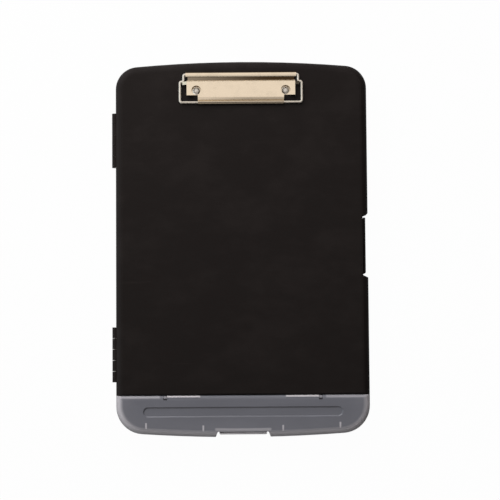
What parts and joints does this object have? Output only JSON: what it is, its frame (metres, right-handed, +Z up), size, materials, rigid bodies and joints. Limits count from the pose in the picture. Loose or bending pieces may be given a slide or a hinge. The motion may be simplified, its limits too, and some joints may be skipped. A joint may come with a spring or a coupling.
{
  "type": "storage clipboard box",
  "caption": "Flat lidded clipboard case: hinged cover with a sprung wire clip, latched at the side, and a separate lidded pen box across its foot.",
  "frame": {"origin": "centre of the tray's flat underside, midway between the crowns of its two bowed ends", "axes": "+X across the case to the side latch, +Y along the case to the clip, +Z up out of the cover; the case lies on its back"},
  "size_m": [0.2423, 0.3557, 0.0306],
  "materials": {
    "black_plastic": "moulded black plastic with a fine even grain",
    "cover_plastic": "moulded black plastic with a fine satin grain",
    "smoke_plastic": "smoke grey translucent plastic, polished outside",
    "clip_nickel": "bright nickel plate",
    "pin_steel": "plain drawn steel"
  },
  "bodies": {
    "tray": {"back_tray": "black_plastic", "hinge_pin_upper": "pin_steel", "hinge_pin_lower": "pin_steel", "side_latch_pin": "pin_steel", "lid_pin_left": "pin_steel", "lid_pin_right": "pin_steel", "pen_latch_pin": "pin_steel"},
    "cover": {"front_cover": "cover_plastic", "clip_base": "clip_nickel", "clip_rivets": "pin_steel", "rivet_washers": "pin_steel"},
    "clip_arm": {"clip_jaw": "clip_nickel", "clip_wire": "clip_nickel"},
    "side_latch_body": {"side_latch": "black_plastic"},
    "pen_lid_body": {"pen_lid": "smoke_plastic"},
    "pen_latch_body": {"pen_latch": "smoke_plastic"}
  },
  "joints": [
    {"name": "cover_hinge", "type": "hinge", "parent": "tray", "child": "cover", "pos_m": [-0.1198, 0.0016, 0.017], "axis": [0, -1, 0], "range_deg": [0, 180]},
    {"name": "pen_lid_hinge", "type": "hinge", "parent": "tray", "child": "pen_lid_body", "pos_m": [0, -0.1408, 0.0228], "axis": [-1, 0, 0], "range_deg": [0, 95]},
    {"name": "side_latch_hinge", "type": "hinge", "parent": "tray", "child": "side_latch_body", "pos_m": [0.1133, 0.0016, 0.005], "axis": [0, 1, 0], "range_deg": [0, 90]},
    {"name": "pen_latch_hinge", "type": "hinge", "parent": "tray", "child": "pen_latch_body", "pos_m": [0, -0.172, 0.005], "axis": [1, 0, 0], "range_deg": [0, 90]},
    {"name": "clip_hinge", "type": "hinge", "parent": "cover", "child": "clip_arm", "pos_m": [0, 0.1648, 0.02715], "axis": [-1, 0, 0], "range_deg": [0, 45], "stiffness_Nm_per_rad": 0.35, "springref_deg": -34.38}
  ]
}
